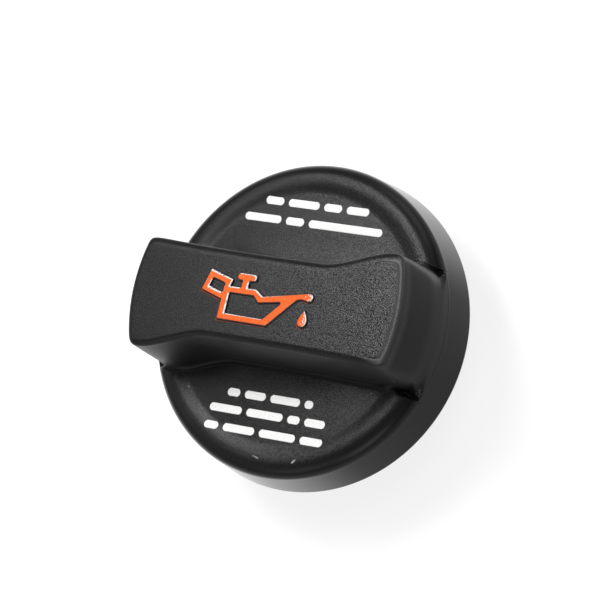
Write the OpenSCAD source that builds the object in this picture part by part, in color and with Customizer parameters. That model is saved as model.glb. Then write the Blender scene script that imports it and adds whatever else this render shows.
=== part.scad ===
// Quarter-turn oil filler cap: a moulded outer cap with a grip bar, a bayonet
// neck insert that closes it from below, and a rubber sealing ring.
// The origin is on the cap's axis in the sealing plane. +Z points up to the
// hand, and +X runs along the grip bar.

/* [Outer cap] */
// Diameter of the skirt at its lower edge
cap_d = 70; // [62:0.5:80]
// Height of the skirt, from its lower edge to the rim's crest
skirt_h = 12.3; // [11:0.1:15]
// Taper of the skirt, in degrees to the axis
skirt_taper = 5.05; // [2:0.05:7]
// Wall thickness of the skirt
skirt_wall = 2.4; // [1.8:0.1:3]
// Thickness of the top plate at the rim's crest
plate_t = 2.5; // [2:0.1:3.5]
// Radius of the round rim
rim_r = 3.3; // [1.2:0.1:4]
// Depth of the shallow dish in the two half-moon faces
dish_depth = 0.5; // [0.1:0.05:0.9]
// Width of the slope between the dish and the crest
dish_slope = 3.3; // [2:0.1:5]
// Width of the level crest between the dish and the round rim
crest_w = 0.6; // [0.3:0.1:2.5]

/* [Grip bar] */
// Height of the grip above the rim's crest, with the raised symbol on its top
grip_h = 15.4; // [11:0.1:20]
// Width of the grip across its waist
grip_w = 18.9; // [15:0.1:22]
// How far each flared side stands out from the waist
flare = 4.4; // [1:0.1:5.5]
// Length over which a side flares
flare_run = 17.5; // [12:0.5:20]
// Distance from the end of the flare to the end of the grip
flare_inset = 3.2; // [2:0.1:5]
// How much each straight side widens from the middle to the end
end_widen = 0.8; // [0:0.1:1.5]
// How far the grip's end leans in from the skirt's line
grip_lean = 1.87; // [1:0.01:3]
// Height above the crest at which the end starts to lean
lean_from = 3.8; // [2:0.1:5]
// Radius of the end's arc along the top edge
end_arc_r = 37; // [34:0.5:60]
// Draft of the long sides, in degrees
side_draft = 6; // [2:0.25:8]
// Radius of the edge round the top
edge_r = 1.3; // [0.8:0.1:2.6]
// Height of the grained pad that the top carries
pad_step = 0.15; // [0.05:0.01:0.3]
// Radius of the fillet at the foot of the long sides
foot_r = 0.8; // [0.4:0.1:1.2]
// Wall thickness of the hollow grip
grip_wall = 2.5; // [2:0.1:3.2]
// Number of cross ribs in the hollow grip
grip_ribs = 2; // [0:1:4]

/* [Seat under the cap] */
// Radial clearance round the insert's flange
flange_gap = 0.2; // [0.1:0.05:0.4]
// Wall thickness of the ring that locates the flange
ring_wall = 1.6; // [1.2:0.1:2]
// How far the locating ring reaches below the flange
ring_below = 1; // [0.8:0.1:1.6]
// How far the snap beads reach under the flange
bead = 0.6; // [0.4:0.05:0.9]
// Height of a snap bead
bead_h = 0.7; // [0.5:0.05:0.75]
// Play between a snap bead and the flange
bead_gap = 0.05; // [0.02:0.01:0.1]
// Width of a snap bead round the ring, in degrees
bead_span = 28; // [15:1:40]
// Number of short ribs between the ring and the skirt
rim_ribs = 12; // [8:1:24]
// Thickness of every moulded rib
rib_t = 1.2; // [0.8:0.1:1.8]

/* [Neck insert] */
// Diameter of the insert's flange
flange_d = 56; // [54:0.5:58]
// Thickness of the insert's flange
flange_t = 2; // [1.6:0.1:3]
// Outside diameter of the neck that enters the filler opening
neck_d = 36; // [32:0.5:39]
// Length of the neck below the sealing plane
neck_len = 20; // [16:0.5:24]
// Wall thickness of the neck
neck_wall = 2.2; // [1.8:0.1:3]
// Chamfer at the neck's open end
neck_chamfer = 0.8; // [0.3:0.1:1.2]
// Depth of the groove that holds the sealing ring
groove_depth = 0.8; // [0.4:0.1:1]

/* [Bayonet] */
// Diameter across the two bayonet lugs
lug_d = 43; // [41:0.25:44]
// Distance from the sealing plane down to the lugs' top faces
lug_drop = 8; // [6:0.25:9]
// Thickness of a lug
lug_t = 4; // [3:0.25:5]
// Width of a lug round the neck, in degrees
lug_span = 38; // [28:1:42]
// Slope of the lead-in at a lug's leading end, in degrees
lead_slope = 14; // [8:1:18]
// Width of the lead-in, in degrees round the neck
lead_span = 15; // [8:1:18]
// Angle from the grip's long axis to the middle of a lug
lug_turn = 90; // [0:5:180]

/* [Sealing ring] */
// Thickness of the sealing ring
seal_t = 2.8; // [2.4:0.1:3.5]
// Outside diameter of the sealing ring
seal_d = 51.4; // [50:0.1:53]
// Clearance between the ring and the bottom of its groove
seal_gap = 0.2; // [0.1:0.05:0.3]
// Inside diameter of the raised sealing land
land_id = 44.8; // [44.6:0.1:46]
// Width of the raised sealing land
land_w = 2.8; // [1.5:0.1:3]
// Height of the raised sealing land
land_h = 0.6; // [0.3:0.05:0.9]

/* [Hidden] */

// Heights above the sealing plane, built up from the ring's lower face
flange_z = seal_t;
plate_z = flange_z + flange_t;
crest_z = plate_z + plate_t;
skirt_z = crest_z - skirt_h;
grip_top = crest_z + grip_h;
pad_foot = grip_top - pad_step;
shoulder_z = pad_foot - edge_r;
lean_z = crest_z + lean_from;
face_z = crest_z - dish_depth;

// Radii of the round body
function cone_r(z) = cap_d / 2 - (z - skirt_z) * tan(skirt_taper);
rim_out = cone_r(crest_z - rim_r);
rim_in = rim_out - rim_r;
crest_in = rim_in - crest_w;
dish_r = crest_in - dish_slope;
flange_r = flange_d / 2;
ring_in = flange_r + flange_gap;
ring_out = ring_in + ring_wall;
ring_z = flange_z - ring_below;
neck_r = neck_d / 2;
bore_r = neck_r - neck_wall;
groove_r = neck_r - groove_depth;

// Half length of the grip at its shoulder
grip_end = cone_r(lean_z) - grip_lean;
flare_x1 = grip_end - flare_inset;
flare_x0 = flare_x1 - flare_run;

round_fn = 128;
small = 0.01;
over = 1;

// Smooth step from 0 to 1, level at both ends
function ease(t) = t <= 0 ? 0 : t >= 1 ? 1 : t * t * (3 - 2 * t);

// Half width of the grip at x on its upper side: it widens slowly to the left
// and flares to the right. The lower side is the same turned by half a turn.
function side_y(x) =
    grip_w / 2
    + end_widen * pow(min(x, 0) / grip_end, 2)
    + flare * ease((x - flare_x0) / flare_run);

// Half length of the grip at height z and offset y: on the skirt's cone up to
// lean_z, then leaning in to a flatter arc at the shoulder.
function end_x(z, y) =
    let (k = min(max((z - lean_z) / (shoulder_z - lean_z), 0), 1))
    let (low = sqrt(pow(cone_r(min(z, lean_z)), 2) - y * y))
    let (top = grip_end - end_arc_r + sqrt(end_arc_r * end_arc_r - y * y))
    low + k * (top - low);

// Distance from the axis to the grip's outline along the ray at angle a. The
// sides stand off by grow, the ends by shrink inwards, and a high power of the
// two distances rounds the corners, less and less from the foot to the shoulder.
shoulder_power = 28;
foot_power = 9;
function corner_power(z) =
    let (k = min(max((z - crest_z) / (shoulder_z - crest_z), 0), 1))
    1 / (k / shoulder_power + (1 - k) / foot_power);
function ray_step(a, z, grow, shrink, r) =
    let (x = r * cos(a), y = r * sin(a))
    let (side = side_y(y < 0 ? -x : x) + grow)
    let (end = end_x(z, min(abs(y), 0.6 * cap_d / 2)) - shrink)
    let (p = corner_power(z))
    pow(pow(abs(sin(a)) / side, p) + pow(abs(cos(a)) / end, p), -1 / p);
function ray_r(a, z, grow, shrink, r = 20, n = 14) =
    n == 0 ? r : ray_r(a, z, grow, shrink, ray_step(a, z, grow, shrink, r), n - 1);
function draft_at(z) = (shoulder_z - z) * tan(side_draft);

// The round body's upper surface as a path from the axis outwards: the dish,
// its slope, the crest, the round rim and the skirt. s is the way along it.
rim_arc = rim_r * PI / 2;
function body_r(s) =
    s <= rim_in ? s
    : s <= rim_in + rim_arc ? rim_in + rim_r * sin((s - rim_in) / rim_arc * 90)
    : rim_out + (s - rim_in - rim_arc) * sin(skirt_taper);
function body_z(s) =
    s <= rim_in ? face_z + dish_depth * ease((s - dish_r) / dish_slope)
    : s <= rim_in + rim_arc ? crest_z - rim_r + rim_r * cos((s - rim_in) / rim_arc * 90)
    : crest_z - rim_r - (s - rim_in - rim_arc) * cos(skirt_taper);
function path_at(r) =
    r <= rim_in ? r : rim_in + asin(min((r - rim_in) / rim_r, 1)) / 90 * rim_arc;

// Height at which the grip's wall meets the body along the ray at angle a
function foot_z(a, z = crest_z, n = 7) =
    n == 0 ? z
    : foot_z(a, body_z(path_at(ray_r(a, z, draft_at(z) + foot_r, 0))), n - 1);

// Angles of the rays: close together at the grip's corners, and at even steps
// along its sides
flared_corner = atan2(grip_w / 2 + flare, grip_end);
straight_corner = atan2(grip_w / 2 + end_widen, grip_end);
corner_reach = 5.5;
corner_steps = 10;
end_steps = 4;
side_steps = 36;
side_a = flared_corner + corner_reach;
side_b = 180 - straight_corner - corner_reach;
// Angle of a side's ray: halfway between even angles, which suit the round rim,
// and even distances along the grip
function side_angle(t) =
    let (even = side_a + (side_b - side_a) * t)
    let (spaced = atan2(1, (1 - t) / tan(side_a) + t / tan(side_b)))
    (even + spaced) / 2;
half_turn = concat(
    [for (i = [0:end_steps - 1]) i * (flared_corner - corner_reach) / end_steps],
    [for (i = [0:corner_steps]) flared_corner + corner_reach * (2 * i / corner_steps - 1)],
    [for (i = [1:side_steps - 1]) side_angle(i / side_steps)],
    [for (i = [0:corner_steps])
        180 - straight_corner - corner_reach * (1 - 2 * i / corner_steps)],
    [for (i = [1:end_steps - 1])
        180 - (straight_corner - corner_reach) * (1 - i / end_steps)]
);
rays = concat(half_turn, [for (a = half_turn) a + 180]);

// Rings of points from the top down: the pad, the round edge, the wall
edge_steps = 4;
fillet_angles = [0, 35, 65];
squeeze = 0.13;
body_stops = concat(
    [for (i = [0:3]) dish_r + dish_slope * i / 3],
    [rim_in],
    [for (i = [1:5]) rim_in + rim_arc * i / 5],
    [rim_in + rim_arc + (crest_z - rim_r - skirt_z) / cos(skirt_taper)]
);
function at(a, r, z) = [r * cos(a), r * sin(a), z];
function column(a) =
    let (zf = foot_z(a))
    let (top_r = ray_r(a, shoulder_z, -edge_r, edge_r))
    let (foot_way = path_at(ray_r(a, zf, draft_at(zf) + foot_r, 0)))
    concat(
        [at(a, top_r - pad_step, grip_top)],
        [for (i = [0:edge_steps])
            let (t = 90 - 90 * i / edge_steps, inset = edge_r * (1 - cos(t)))
            at(a, ray_r(a, shoulder_z, -inset, inset), shoulder_z + edge_r * sin(t))],
        [for (z = [(shoulder_z + lean_z) / 2, lean_z])
            at(a, ray_r(a, z, draft_at(z), 0), z)],
        [for (t = fillet_angles)
            let (z = zf + foot_r * (1 - sin(t)), grow = draft_at(z) + foot_r * (1 - cos(t)))
            at(a, ray_r(a, z, grow, 0), z)],
        [at(a, body_r(foot_way), body_z(foot_way))],
        [for (k = [0:len(body_stops) - 1])
            let (s = max(body_stops[k], foot_way + squeeze * (k + 1)))
            at(a, body_r(s), body_z(s))]
    );

// The cap's whole outer form as one closed skin
module outer_form() {
    columns = [for (a = rays) column(a)];
    m = len(columns);
    n = len(columns[0]);
    points = concat(
        [[0, 0, grip_top], [0, 0, skirt_z]],
        [for (c = columns) each c]
    );
    top_fan = [for (i = [0:m - 1]) [0, 2 + ((i + 1) % m) * n, 2 + i * n]];
    bottom_fan = [for (i = [0:m - 1]) [1, 2 + i * n + n - 1, 2 + ((i + 1) % m) * n + n - 1]];
    sides = [
        for (i = [0:m - 1], j = [0:n - 2])
            let (p = 2 + i * n + j, q = 2 + ((i + 1) % m) * n + j)
            each [[p, q, q + 1], [p, q + 1, p + 1]]
    ];
    polyhedron(points = points, faces = concat(top_fan, sides, bottom_fan), convexity = 8);
}

// Plan of the hollow in the grip: the outline less its wall, kept inside the
// ring that locates the insert
module hollow_plan() {
    intersection() {
        polygon([
            for (a = rays)
                let (r = ray_r(a, shoulder_z, -grip_wall, grip_wall))
                [r * cos(a), r * sin(a)]
        ]);
        circle(r = flange_r - flange_gap, $fn = round_fn);
    }
}

// Everything that is open below the top plate
module under_space() {
    rotate_extrude($fn = round_fn)
        polygon([
            [0, skirt_z - over],
            [cone_r(skirt_z - over) - skirt_wall, skirt_z - over],
            [cone_r(plate_z) - skirt_wall, plate_z],
            [0, plate_z]
        ]);
    translate([0, 0, plate_z - small])
        linear_extrude(grip_top - grip_wall - plate_z + small)
            hollow_plan();
}

// Ring that the insert's flange snaps into
module locating_ring() {
    rotate_extrude($fn = round_fn)
        translate([ring_in, ring_z])
            square([ring_wall, plate_z - ring_z + small]);
    for (i = [0:3])
        rotate([0, 0, 45 + 90 * i - bead_span / 2])
            rotate_extrude(angle = bead_span, $fn = round_fn)
                polygon([
                    [ring_in + small, flange_z - bead_gap - bead_h],
                    [flange_r - bead, flange_z - bead_gap - bead_h / 2],
                    [flange_r - bead, flange_z - bead_gap],
                    [ring_in + small, flange_z - bead_gap]
                ]);
}

// Short ribs that join the locating ring to the skirt
module rim_rib_set() {
    rib_z = flange_z;
    for (i = [0:rim_ribs - 1])
        rotate([0, 0, 360 * (i + 0.5) / rim_ribs])
            translate([ring_out - ring_wall / 2, -rib_t / 2, rib_z])
                cube([cone_r(plate_z) - skirt_wall / 2 - ring_out + ring_wall / 2,
                      rib_t, plate_z - rib_z + small]);
}

// Cross ribs in the hollow grip, ending at the plate
module grip_rib_set() {
    pitch = 2 * flange_r / (grip_ribs + 1);
    if (grip_ribs > 0)
        for (i = [1:grip_ribs])
            translate([i * pitch - flange_r - rib_t / 2, -cap_d / 4, plate_z])
                cube([rib_t, cap_d / 2, grip_h + plate_t]);
}

module cap_shell() {
    color([0.13, 0.13, 0.135])
        difference() {
            outer_form();
            difference() {
                under_space();
                locating_ring();
                rim_rib_set();
                grip_rib_set();
            }
        }
}

// One bayonet lug, its leading end first. The top face carries the load and
// slopes down to the leading end.
module lug() {
    root = neck_r - neck_wall / 2;
    difference() {
        rotate([0, 0, -lug_span / 2])
            rotate_extrude(angle = lug_span, $fn = round_fn)
                polygon([
                    [root, -lug_drop - lug_t],
                    [neck_r + (lug_d - neck_d) / 4, -lug_drop - lug_t],
                    [lug_d / 2, -lug_drop - lug_t + (lug_d - neck_d) / 4],
                    [lug_d / 2, -lug_drop],
                    [root, -lug_drop]
                ]);
        rotate([0, 0, lead_span - lug_span / 2])
            translate([0, 0, -lug_drop])
                rotate([lead_slope, 0, 0])
                    translate([neck_r / 2, -neck_d / 2, 0])
                        cube([neck_d, neck_d / 2, lug_t]);
    }
}

module bayonet_neck() {
    edge = 0.4;
    color([0.11, 0.11, 0.115]) {
        rotate_extrude($fn = round_fn)
            polygon([
                [0, plate_z],
                [flange_r - edge, plate_z],
                [flange_r, plate_z - edge],
                [flange_r, flange_z],
                [groove_r, flange_z],
                [groove_r, 0],
                [neck_r, 0],
                [neck_r, neck_chamfer - neck_len],
                [neck_r - neck_chamfer, -neck_len],
                [bore_r, -neck_len],
                [bore_r, flange_z],
                [0, flange_z]
            ]);
        for (i = [0:1])
            rotate([0, 0, lug_turn + 180 * i])
                difference() {
                    lug();
                    translate([0, 0, -neck_len])
                        cylinder(r = neck_r - neck_wall / 4, h = neck_len, $fn = round_fn);
                }
    }
}

// Flat ring that fills the groove, with a raised land that seals on the neck's
// face outside the lugs
module seal_ring() {
    inner = groove_r + seal_gap;
    outer = seal_d / 2;
    land_in = land_id / 2;
    land_out = land_in + land_w;
    edge = 0.3;
    color([0.06, 0.06, 0.06])
        rotate_extrude($fn = round_fn)
            polygon([
                [inner, land_h],
                [land_in - land_h / 2, land_h],
                [land_in, 0],
                [land_out, 0],
                [land_out, land_h],
                [outer - edge, land_h],
                [outer, land_h + edge],
                [outer, seal_t - edge],
                [outer - edge, seal_t],
                [inner, seal_t]
            ]);
}

cap_shell();
bayonet_neck();
seal_ring();
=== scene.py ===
import math

import bpy
import numpy as np
from mathutils import Matrix, Vector
from mathutils.geometry import delaunay_2d_cdt


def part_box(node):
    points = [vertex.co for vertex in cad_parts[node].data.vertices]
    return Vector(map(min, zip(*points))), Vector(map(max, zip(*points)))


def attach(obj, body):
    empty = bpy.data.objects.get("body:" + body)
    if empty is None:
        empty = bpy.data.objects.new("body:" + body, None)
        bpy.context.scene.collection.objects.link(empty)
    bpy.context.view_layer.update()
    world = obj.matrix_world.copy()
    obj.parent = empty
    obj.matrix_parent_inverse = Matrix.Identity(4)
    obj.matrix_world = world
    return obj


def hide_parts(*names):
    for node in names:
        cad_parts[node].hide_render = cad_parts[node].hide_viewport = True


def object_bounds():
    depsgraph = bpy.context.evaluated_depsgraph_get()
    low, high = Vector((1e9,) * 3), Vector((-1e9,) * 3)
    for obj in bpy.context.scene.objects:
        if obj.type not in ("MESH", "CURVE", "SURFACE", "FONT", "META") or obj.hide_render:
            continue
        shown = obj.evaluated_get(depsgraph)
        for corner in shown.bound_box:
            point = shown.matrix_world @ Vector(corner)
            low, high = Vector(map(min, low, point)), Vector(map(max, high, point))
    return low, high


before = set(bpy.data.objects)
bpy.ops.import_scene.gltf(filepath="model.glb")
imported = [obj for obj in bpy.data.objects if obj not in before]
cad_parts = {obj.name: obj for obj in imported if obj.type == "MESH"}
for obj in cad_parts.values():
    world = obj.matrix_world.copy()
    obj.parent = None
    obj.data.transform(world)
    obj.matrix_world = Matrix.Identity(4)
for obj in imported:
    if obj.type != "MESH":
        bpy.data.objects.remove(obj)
cadBox = [list(corner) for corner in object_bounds()]
print("frame loaded:", ", ".join(sorted(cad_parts)))

mm = 0.001
fullTurn = 2 * np.pi


def boxInMm(node):
    return [np.array(corner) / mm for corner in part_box(node)]


shellLow, shellHigh = boxInMm("cap_shell")
neckLow, neckHigh = boxInMm("bayonet_neck")
sealHigh = boxInMm("seal_ring")[1]


# camera

cameraView = {
    "lens": 180.0, "sensor": 36.0,    # mm: a long lens, 11 degrees across the picture
    "turn": 27.61, "tilt": 14.96, "roll": -7.75,    # degrees, how the cap's axis leans away from the lens
    "rimCentre": (-1.21, -3.66, -629.69),    # mm, the middle of the rim's crest as the lens sees it
    "crestHeight": 7.3,    # mm above the sealing plane
}


def placeCamera(v):
    # The cap's axis seen by the lens is (-sin turn cos tilt, sin tilt, cos turn cos tilt). The other two axes
    # are the picture's upright made square to it, and the cross product, both rolled. Their transpose turns
    # the camera.
    turn, tilt, roll = (math.radians(v[k]) for k in ("turn", "tilt", "roll"))
    axis = np.array([-math.sin(turn) * math.cos(tilt), math.sin(tilt), math.cos(turn) * math.cos(tilt)])
    upright = np.array([0, 1, 0]) - axis * axis[1]
    upright /= np.linalg.norm(upright)
    across = np.cross(upright, axis)
    seen = np.column_stack([
        math.cos(roll) * across + math.sin(roll) * upright,
        math.cos(roll) * upright - math.sin(roll) * across,
        axis,
    ])
    eye = np.array([0, 0, v["crestHeight"]]) - seen.T @ np.array(v["rimCentre"])
    data = bpy.data.cameras.new("studioCamera")
    data.lens, data.sensor_width = v["lens"], v["sensor"]
    camera = bpy.data.objects.new("studioCamera", data)
    bpy.context.scene.collection.objects.link(camera)
    camera.matrix_world = Matrix.Translation(eye * mm) @ Matrix(seen.T.tolist()).to_4x4()
    bpy.context.scene.camera = camera


placeCamera(cameraView)
print("camera placed")


# making meshes from grids

def putPiece(name, points, faces, materials, layers=None, faceMaterial=None, smooth=True):
    # points in mm, one row each; faces a list of arrays with 3 or 4 columns; layers are values per point;
    # faceMaterial and smooth may be one value per face
    mesh = bpy.data.meshes.new(name)
    rows = [row for part in faces for row in part.tolist()]
    mesh.from_pydata((points * mm).tolist(), [], rows)
    for key, values in (layers or {}).items():
        mesh.attributes.new(key, "FLOAT", "POINT").data.foreach_set("value", values.astype(np.float32))
    for material in materials:
        mesh.materials.append(material)
    if faceMaterial is not None:
        mesh.polygons.foreach_set("material_index", faceMaterial.astype(np.int32))
    mesh.polygons.foreach_set("use_smooth", np.full(len(rows), smooth))
    mesh.update()
    piece = bpy.data.objects.new(name, mesh)
    bpy.context.scene.collection.objects.link(piece)
    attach(piece, "root")
    print(f"{name}: {sum(len(row) - 2 for row in rows)} triangles")
    return piece


def gridFaces(columns, rows, aroundRows=False):
    # Quads of a grid whose columns close on themselves; point number is column * rows + row
    i = np.arange(columns)[:, None]
    j = np.arange(rows if aroundRows else rows - 1)[None, :]
    k, l = (i + 1) % columns, (j + 1) % rows
    i, j, k, l = np.broadcast_arrays(i, j, k, l)
    return np.stack([i * rows + j, i * rows + l, k * rows + l, k * rows + j], -1).reshape(-1, 4)


def fanFaces(columns, rows, row, pole, upward):
    # Triangles from one row of the grid to a pole
    i = np.arange(columns)
    here, after = i * rows + row, (i + 1) % columns * rows + row
    tip = np.full(columns, pole)
    return np.stack([tip, here, after] if upward else [here, tip, after], -1)


def aroundAxis(r, a, z):
    # The point (r cos a, r sin a, z), with a row of the grid for each angle
    a = a[:, None]
    return np.stack([r * np.cos(a), r * np.sin(a), z + 0 * a], -1)


def turnedSkin(angles, stations, topZ, endZ):
    # Radius and height are read off the stations at each angle; poles close both ends
    r, z = (np.stack([np.broadcast_to(s[k], angles.shape) for s in stations], 1) for k in (0, 1))
    points = aroundAxis(r, angles, z).reshape(-1, 3)
    columns, rows = r.shape
    poles = np.array([[0, 0, topZ], [0, 0, endZ]])
    faces = [
        gridFaces(columns, rows),
        fanFaces(columns, rows, 0, columns * rows, True),
        fanFaces(columns, rows, rows - 1, columns * rows + 1, False),
    ]
    return np.concatenate([points, poles]), faces


cornerReach = 0.4    # the share of the way to its neighbour that a softened corner may take


def softCorners(stations, radius, steps=4, closed=False):
    # Each corner of a section gives way to a curve from radius before it to radius after it:
    # (1-t)^2 A + 2t(1-t) B + t^2 C. A corner close to its neighbour gets a smaller radius.
    shape = np.broadcast_shapes(*[np.shape(x) for s in stations for x in s])
    p = np.stack([np.stack([np.broadcast_to(x, shape) for x in s[:2]], -1) for s in stations])
    radii = [s[2] if len(s) > 2 else radius for s in stations]
    n, out = len(p), []
    for i in range(n):
        if not closed and i in (0, n - 1):
            out.append((p[i][..., 0], p[i][..., 1]))
            continue
        before, after = p[i - 1] - p[i], p[(i + 1) % n] - p[i]
        longBefore = np.linalg.norm(before, axis=-1, keepdims=True) + 1e-9
        longAfter = np.linalg.norm(after, axis=-1, keepdims=True) + 1e-9
        a = p[i] + before / longBefore * np.minimum(radii[i], longBefore * cornerReach)
        c = p[i] + after / longAfter * np.minimum(radii[i], longAfter * cornerReach)
        for t in np.linspace(0, 1, steps):
            q = (1 - t) ** 2 * a + 2 * t * (1 - t) * p[i] + t ** 2 * c
            out.append((q[..., 0], q[..., 1]))
    return out


def ease(t):
    # 3t^2 - 2t^3 between 0 and 1, level outside
    t = np.clip(t, 0, 1)
    return t * t * (3 - 2 * t)


# outer shell: its form

shellForm = {    # mm and degrees
    "taper": 5.05, "skirtWall": 2.4, "skirtHeight": 12.3, "plate": 2.5,
    "rimRadius": 3.3, "crest": 0.6, "dishSlope": 3.3, "dishDepth": 0.5,
    "gripWidth": 18.9, "flare": 4.4, "flareRun": 17.5, "flareInset": 3.2, "endWiden": 0.8,
    "gripLean": 1.87, "leanFrom": 3.8, "leanSoftness": 1.3, "endArc": 37.0,
    "sideDraft": 6.0, "edgeRadius": 1.3, "footRadius": 0.8, "gripWall": 2.5,
    "symbolHeight": 0.4,    # the raised symbol stands this far above the pad
    "padBorder": 0.2, "endBorder": 1.3,    # the strip round the grained pad, and at the right end
    "padStep": 0.04,    # how far the strip lies below the pad there
    "farEdge": 0.7, "endEdge": -1.1,    # how much wider the edge is on the upper side and there
    "farBlend": 0.15, "rightBlend": 0.06,    # how fast these come in, by the ray's sine and in radians
    "ledge": 0.24, "ledgeHeight": 0.22,    # the small ledge at the foot of the long sides
    "endFoot": 1.8,    # how much wider the foot's rounding is at the ends,
    "endFrom": 0.88, "endBlend": 0.07,    # and where that comes in, by the ray's cosine
    "footLift": 0.4, "footSpread": 5.5,    # how the half-moon faces rise to the grip's middle
    "liftFrom": 13.0, "liftRun": 9.0,    # and where that rise fades out, from the axis
    "shoulderPower": 28, "footPower": 9,    # how square the grip's corners are
    "ringWall": 1.6, "ringBelow": 1.0, "bead": 0.6, "beadHeight": 0.7, "beadGap": 0.05, "beadSpan": 28.0,
    "beadEnd": 1.2, "flangeGap": 0.2,
    "rimRibs": 12, "gripRibs": 2, "rib": 1.2, "rimRibSink": 0.4, "ribSink": 0.3,
}
skinStations = {
    "rays": 640, "crowding": 5.0, "crowdSpread": 3.2,    # rays crowd within these degrees of a corner
    "pad": (0.2, 0.45, 0.7, 0.88),    # shares of the way to the pad's edge
    "strip": ((-0.2, 0, 0), (-0.1, 0.05, 0), (0, 0.2, 0), (0.12, 0.5, 0), (0.24, 0.8, 0), (0.34, 0.95, 0),
              (0.44, 1, 0), (0.62, 1, 0.1)),    # shares of the strip's width, of its step, and of its painted highlight
    "edge": 13,    # steps round the edge
    "wall": (0.12, 0.27, 0.42, 0.57, 0.7, 0.8, 0.88, 0.94, 1.0, 1.06, 1.13),    # shares down to leanZ
    "foot": (0, 12, 26, 40, 54, 68, 80, 90),    # degrees round the foot
    "ledge": ((0.72, 0.99), (0.9, 0.9), (1.0, 0.68), (1.08, 0.25), (1.2, 0.05)),    # shares out and up
    "face": (0, 12.5, 13.5, 14.5, 15.5, 16.5, 17.5, 18.5, 20.0, 21.5, 23.0, 24.5),    # mm from the axis
    "dish": 9, "rim": (0.08, 1, 13), "skirt": (0.12, 0.93, 8),    # first share, last share and count
    "least": 0.06,    # mm from one station on the body to the next
}
wearAndHighlight = {
    "stripSmooth": 0.75, "edgeSmooth": 0.6,    # how much of the grain is gone at the right end
    "edgeHighlightRamp": (1.8, 0.6), "wallHighlight": 0.45,    # the edge's painted highlight comes in by 1.8 height - 0.6
    "faceGrain": 0.8, "grainFade": 3.0,    # grain on the half-moon faces, and mm to none on the rim
}
f = shellForm
capRadius = shellHigh[0]
skirtZ = shellLow[2]
crestZ = skirtZ + f["skirtHeight"]
plateZ = crestZ - f["plate"]
flangeZ = sealHigh[2]
flangeRadius = neckHigh[0]
padZ = shellHigh[2] - f["symbolHeight"]
shoulderZ = padZ - f["padStep"] - f["edgeRadius"]
leanZ = crestZ + f["leanFrom"]
faceZ = crestZ - f["dishDepth"]
tanTaper = math.tan(math.radians(f["taper"]))


def coneRadius(z):
    # Radius of the skirt at height z: the cap's radius less (z - skirtZ) tan(taper)
    return capRadius - (z - skirtZ) * tanTaper


rimOut = coneRadius(crestZ - f["rimRadius"])
rimIn = rimOut - f["rimRadius"]
dishRadius = rimIn - f["crest"] - f["dishSlope"]
rimArc = f["rimRadius"] * np.pi / 2
gripEnd = coneRadius(leanZ) - f["gripLean"]
flareStart = gripEnd - f["flareInset"] - f["flareRun"]
flaredCorner = math.atan2(f["gripWidth"] / 2 + f["flare"], gripEnd)
plainCorner = math.atan2(f["gripWidth"] / 2 + f["endWiden"], gripEnd)


def sideY(x):
    # Half width of the grip on its upper side: half the width, plus a parabola to the left and a smooth step
    # up to the flare on the right. The lower side is the same turned by half a turn.
    widening = f["endWiden"] * (np.minimum(x, 0) / gripEnd) ** 2
    return f["gripWidth"] / 2 + widening + f["flare"] * ease((x - flareStart) / f["flareRun"])


def endX(z, y):
    # Half length of the grip: the skirt's cone below leanZ, then a straight lean to a flatter arc at the
    # shoulder. Within s of the crease between them, the way above it is (d + s)^2 / 4s.
    d, s = z - leanZ, f["leanSoftness"]
    above = np.clip(d + s, 0, 2 * s) ** 2 / (4 * s) + np.maximum(d - s, 0)
    k = np.clip(above / (shoulderZ - leanZ), 0, 1)
    low = np.sqrt(coneRadius(z - above) ** 2 - y * y)
    top = gripEnd - f["endArc"] + np.sqrt(f["endArc"] ** 2 - y * y)
    return low + k * (top - low)


def gripRadius(a, z, grow, shrink):
    # Distance from the axis to the grip's outline along the ray at angle a: with the side and the end that
    # the ray meets, r = ((|sin a| / side)^p + (|cos a| / end)^p)^(-1/p), found again until it stands still.
    # 1/p goes evenly from the foot to the shoulder, so the corners are softest at the foot.
    r = np.full(np.broadcast_shapes(np.shape(a), np.shape(z)), 20.0)    # a first guess
    k = np.clip((z - crestZ) / (shoulderZ - crestZ), 0, 1)
    p = 1 / (k / f["shoulderPower"] + (1 - k) / f["footPower"])
    for _ in range(16):
        x, y = r * np.cos(a), r * np.sin(a)
        side = sideY(np.where(y < 0, -x, x)) + grow
        end = endX(z, np.minimum(np.abs(y), 0.6 * capRadius)) - shrink
        r = ((np.abs(np.sin(a)) / side) ** p + (np.abs(np.cos(a)) / end) ** p) ** (-1 / p)
    return r


def draftAt(z):
    return (shoulderZ - z) * math.tan(math.radians(f["sideDraft"]))


def bodyRadius(s):
    # The body's section by the way s from the axis: level, then a quarter circle, then the skirt's slope
    onArc = rimIn + f["rimRadius"] * np.sin(np.clip((s - rimIn) / rimArc, 0, 1) * np.pi / 2)
    onSkirt = rimOut + (s - rimIn - rimArc) * math.sin(math.radians(f["taper"]))
    return np.where(s <= rimIn, s, np.where(s <= rimIn + rimArc, onArc, onSkirt))


def bodyHeight(s):
    # The dish rises to the crest by a smooth step, then the quarter circle and the skirt fall
    onDish = faceZ + f["dishDepth"] * ease((s - dishRadius) / f["dishSlope"])
    turned = np.clip((s - rimIn) / rimArc, 0, 1) * np.pi / 2
    onArc = crestZ - f["rimRadius"] * (1 - np.cos(turned))
    onSkirt = crestZ - f["rimRadius"] - (s - rimIn - rimArc) * math.cos(math.radians(f["taper"]))
    return np.where(s <= rimIn, onDish, np.where(s <= rimIn + rimArc, onArc, onSkirt))


def wayAt(r):
    # The way s at which the body has radius r
    turned = np.arcsin(np.clip((r - rimIn) / f["rimRadius"], 0, 1))
    return np.where(r <= rimIn, r, rimIn + turned / (np.pi / 2) * rimArc)


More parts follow.
